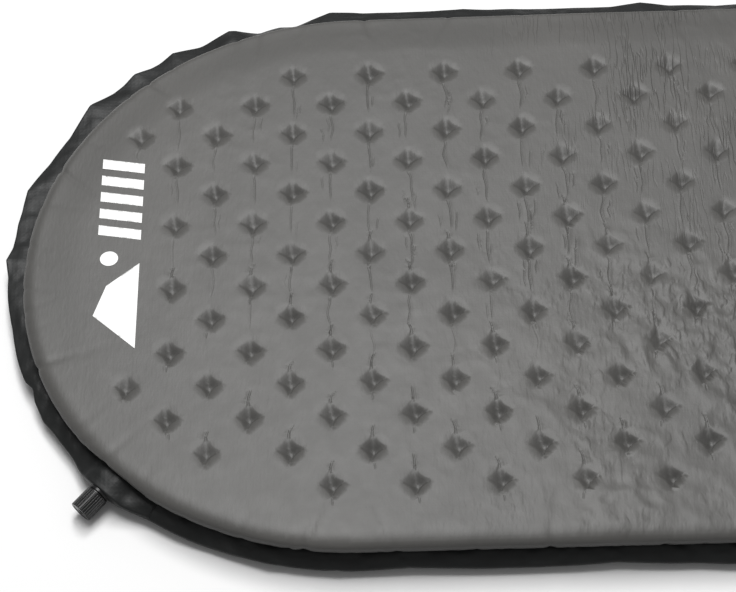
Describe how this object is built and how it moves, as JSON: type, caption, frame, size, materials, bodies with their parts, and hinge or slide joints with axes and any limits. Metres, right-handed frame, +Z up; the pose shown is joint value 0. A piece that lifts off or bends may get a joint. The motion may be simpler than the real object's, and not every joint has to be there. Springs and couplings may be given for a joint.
{
  "type": "self-inflating sleeping pad",
  "caption": "Self-inflating sleeping pad with rounded ends, welded coated-fabric sheets over die-cut foam, a bound edge and a ribbed screw valve.",
  "frame": {"origin": "middle of the pad's outline, on the surface it lies on", "axes": "+X from the head end, which has the valve, to the foot end; +Y to the side away from the valve; +Z up"},
  "size_m": [1.8998, 0.62, 0.038],
  "materials": {
    "top_fabric": "smooth coated polyester, matt with a faint sheen",
    "base_fabric": "coated polyester, slightly grippy",
    "binding": "woven tape with a soft sheen",
    "foam": "open-cell foam",
    "ink": "screen print",
    "valve_plastic": "moulded nylon, satin gloss",
    "seal_rubber": "smooth nitrile"
  },
  "bodies": {
    "pad": {"top_sheet": "top_fabric", "bottom_sheet": "base_fabric", "edge_binding": "binding", "foam_core": "foam", "print_mark": "ink", "valve_body": "valve_plastic", "tip_ring": "seal_rubber"},
    "seal": {"seal_ring": "seal_rubber"},
    "cap": {"valve_cap": "valve_plastic"}
  },
  "joints": [
    {"name": "cap_travel", "type": "slide", "parent": "pad", "child": "seal", "axis": [-0.6841, -0.7084, -0.1736], "range_m": [0, 0.004]},
    {"name": "cap_turn", "type": "hinge", "parent": "seal", "child": "cap", "pos_m": [-0.84006, -0.20717, 0.019], "axis": [-0.6841, -0.7084, -0.1736], "range_deg": [0, 720]}
  ],
  "couplings": [
    {"joint": "cap_turn", "follows": "cap_travel", "rad_per_m": 3141.6}
  ]
}
